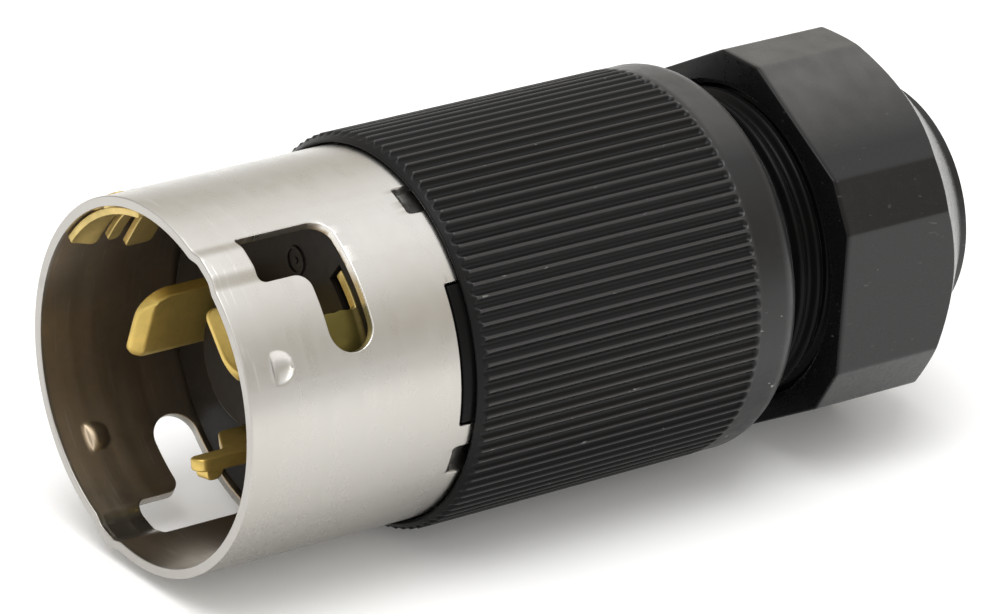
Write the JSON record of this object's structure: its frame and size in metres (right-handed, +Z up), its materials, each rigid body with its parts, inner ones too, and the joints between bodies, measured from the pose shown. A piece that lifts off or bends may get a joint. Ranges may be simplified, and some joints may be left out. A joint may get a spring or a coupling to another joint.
{
  "type": "locking plug",
  "caption": "Heavy-duty locking plug: slotted steel shell round stamped brass blades, ribbed black grip housing and a faceted cord-gland nut.",
  "frame": {"origin": "middle of the bounding box's bottom, under the plug's axis as it lies on a narrow flat of its gland nut", "axes": "+Y along the plug's axis from the mating rim to the cord end, +Z up, +X to the right as seen by someone who looks into the shell"},
  "size_m": [0.0558, 0.1296, 0.056],
  "materials": {
    "shell_nickel": "satin nickel plate with faint rolling marks",
    "blade_brass": "stamped brass, bright edges, dulled faces",
    "clip_brass": "spring brass, satin",
    "clamp_brass": "machined brass, satin",
    "screw_steel": "zinc plated",
    "earth_screw_green": "green coloured steel",
    "insulator_black": "moulded black, semi matt",
    "housing_black": "moulded black nylon, fine scuffs",
    "nut_black": "moulded black nylon, satin",
    "grommet_rubber": "matt black rubber",
    "washer_nylon": "natural nylon"
  },
  "bodies": {
    "plug_body": {"shell": "shell_nickel", "earth_clip": "clip_brass", "blade_line_x": "blade_brass", "blade_line_y": "blade_brass", "blade_neutral": "blade_brass", "face_insulator": "insulator_black", "slot_contact": "blade_brass", "terminal_body": "insulator_black", "assembly_screw_1": "screw_steel", "assembly_screw_2": "screw_steel", "grip_housing": "housing_black", "clamp_line_x": "clamp_brass", "clamp_line_y": "clamp_brass", "clamp_neutral": "clamp_brass", "clamp_earth": "clamp_brass"},
    "gland_seal": {"slip_washer": "washer_nylon", "cord_grommet": "grommet_rubber"},
    "gland_nut": {"gland_nut": "nut_black"},
    "plate_line_x": {"pressure_plate_line_x": "screw_steel"},
    "screw_line_x": {"terminal_screw_line_x": "screw_steel"},
    "plate_line_y": {"pressure_plate_line_y": "screw_steel"},
    "screw_line_y": {"terminal_screw_line_y": "screw_steel"},
    "plate_neutral": {"pressure_plate_neutral": "screw_steel"},
    "screw_neutral": {"terminal_screw_neutral": "screw_steel"},
    "plate_earth": {"pressure_plate_earth": "screw_steel"},
    "screw_earth": {"terminal_screw_earth": "earth_screw_green"}
  },
  "joints": [
    {"name": "gland_advance", "type": "slide", "parent": "plug_body", "child": "gland_seal", "axis": [0, -1, 0], "range_m": [-0.00307, 0.00612]},
    {"name": "gland_nut_turn", "type": "hinge", "parent": "gland_seal", "child": "gland_nut", "pos_m": [0, 0.04525, 0.028], "axis": [0, -1, 0], "range_deg": [-360, 720]},
    {"name": "plate_line_x_press", "type": "slide", "parent": "plug_body", "child": "plate_line_x", "axis": [0.9527, 0, -0.304], "range_m": [0, 0.0016]},
    {"name": "screw_line_x_turn", "type": "hinge", "parent": "plate_line_x", "child": "screw_line_x", "pos_m": [-0.01715, -0.0174, 0.03347], "axis": [0.9527, 0, -0.304], "range_deg": [0, 721]},
    {"name": "plate_line_y_press", "type": "slide", "parent": "plug_body", "child": "plate_line_y", "axis": [-0.7396, 0, -0.673], "range_m": [0, 0.0016]},
    {"name": "screw_line_y_turn", "type": "hinge", "parent": "plate_line_y", "child": "screw_line_y", "pos_m": [0.01331, -0.0174, 0.04011], "axis": [-0.7396, 0, -0.673], "range_deg": [0, 721]},
    {"name": "plate_neutral_press", "type": "slide", "parent": "plug_body", "child": "plate_neutral", "axis": [-0.213, 0, 0.977], "range_m": [0, 0.0016]},
    {"name": "screw_neutral_turn", "type": "hinge", "parent": "plate_neutral", "child": "screw_neutral", "pos_m": [0.00383, -0.0174, 0.01041], "axis": [-0.213, 0, 0.977], "range_deg": [0, 721]},
    {"name": "plate_earth_press", "type": "slide", "parent": "plug_body", "child": "plate_earth", "axis": [0.213, 0, -0.977], "range_m": [0, 0.0016]},
    {"name": "screw_earth_turn", "type": "hinge", "parent": "plate_earth", "child": "screw_earth", "pos_m": [-0.00383, -0.0174, 0.04559], "axis": [0.213, 0, -0.977], "range_deg": [0, 721]}
  ],
  "couplings": [
    {"joint": "gland_advance", "follows": "gland_nut_turn", "m_per_rad": 0.00048542},
    {"joint": "screw_line_x_turn", "follows": "plate_line_x_press", "rad_per_m": 7854},
    {"joint": "screw_line_y_turn", "follows": "plate_line_y_press", "rad_per_m": 7854},
    {"joint": "screw_neutral_turn", "follows": "plate_neutral_press", "rad_per_m": 7854},
    {"joint": "screw_earth_turn", "follows": "plate_earth_press", "rad_per_m": 7854}
  ]
}
